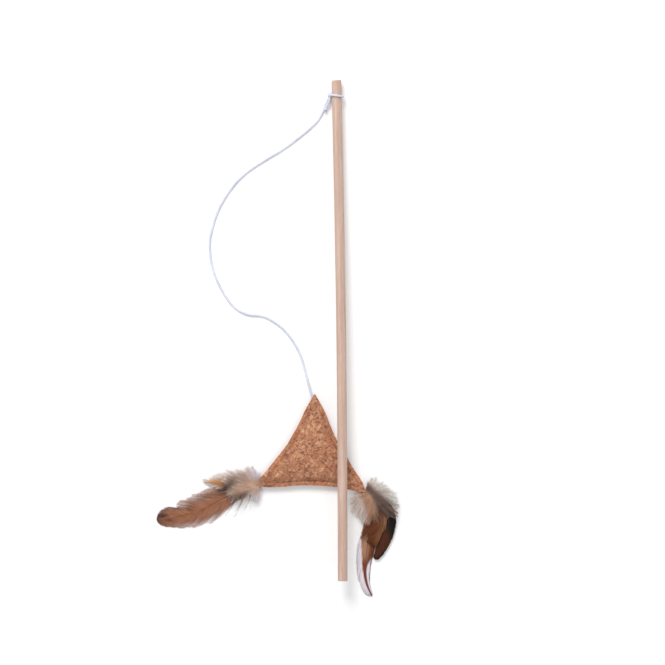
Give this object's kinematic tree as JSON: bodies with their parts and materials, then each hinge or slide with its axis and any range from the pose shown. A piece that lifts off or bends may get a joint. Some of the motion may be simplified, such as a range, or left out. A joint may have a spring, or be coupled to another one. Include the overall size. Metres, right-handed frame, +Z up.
{
  "type": "cat teaser wand",
  "caption": "Wooden wand with an elastic string tied round its far end, and on the string a stuffed triangular cork-fabric toy with feathers in its lower corners.",
  "frame": {"origin": "centre of the rod's grip-end face", "axes": "+Y along the rod towards the string end, where it dips 1.7 degrees to the surface; +X to the right of the rod seen from above; +Z up from the surface on which the wand lies"},
  "size_m": [0.1961, 0.4235, 0.0216],
  "materials": {
    "rod_wood": "plain sanded beech",
    "elastic": "fine braided cover, matt",
    "cork": "cork flakes on cloth, matt",
    "wadding": "loose white wadding",
    "glue": "set hot-melt glue",
    "brown_feather": "warm brown barbs",
    "dark_feather": "dark brown barbs, faint sheen",
    "white_feather": "brown stripe between white margins",
    "down": "loose grey-pink down"
  },
  "bodies": {
    "rod": {"wand_rod": "rod_wood"},
    "loop": {"string_loop": "elastic", "string_knot": "elastic", "string_tail": "elastic"},
    "string": {"string": "elastic"},
    "bend": {"string_bend": "elastic"},
    "toy": {"string_end_knot": "elastic", "front_panel": "cork", "back_panel": "cork", "filling": "wadding", "apex_glue": "glue", "left_glue": "glue", "right_glue": "glue", "left_long_feather": "brown_feather", "left_short_feather": "brown_feather", "left_down": "down", "right_white_feather": "white_feather", "right_dark_feather": "dark_feather", "right_brown_feather": "brown_feather", "right_down": "down"}
  },
  "joints": [
    {"name": "loop_turn", "type": "hinge", "parent": "rod", "child": "loop", "pos_m": [0, 0, 0], "axis": [0, 0.9996, -0.0294], "continuous": true},
    {"name": "string_swing", "type": "hinge", "parent": "loop", "child": "string", "pos_m": [-0.00563, 0.39683, -0.01569], "axis": [0, 0, 1], "range_deg": [-90, 0]},
    {"name": "toy_swing", "type": "hinge", "parent": "string", "child": "bend", "pos_m": [-0.02484, 0.15666, -0.01359], "axis": [0, 0, 1], "range_deg": [-70, 70]},
    {"name": "toy_flap", "type": "hinge", "parent": "bend", "child": "toy", "pos_m": [-0.02363, 0.15181, -0.01359], "axis": [0.9701, 0.2425, 0], "range_deg": [0, 90]}
  ]
}
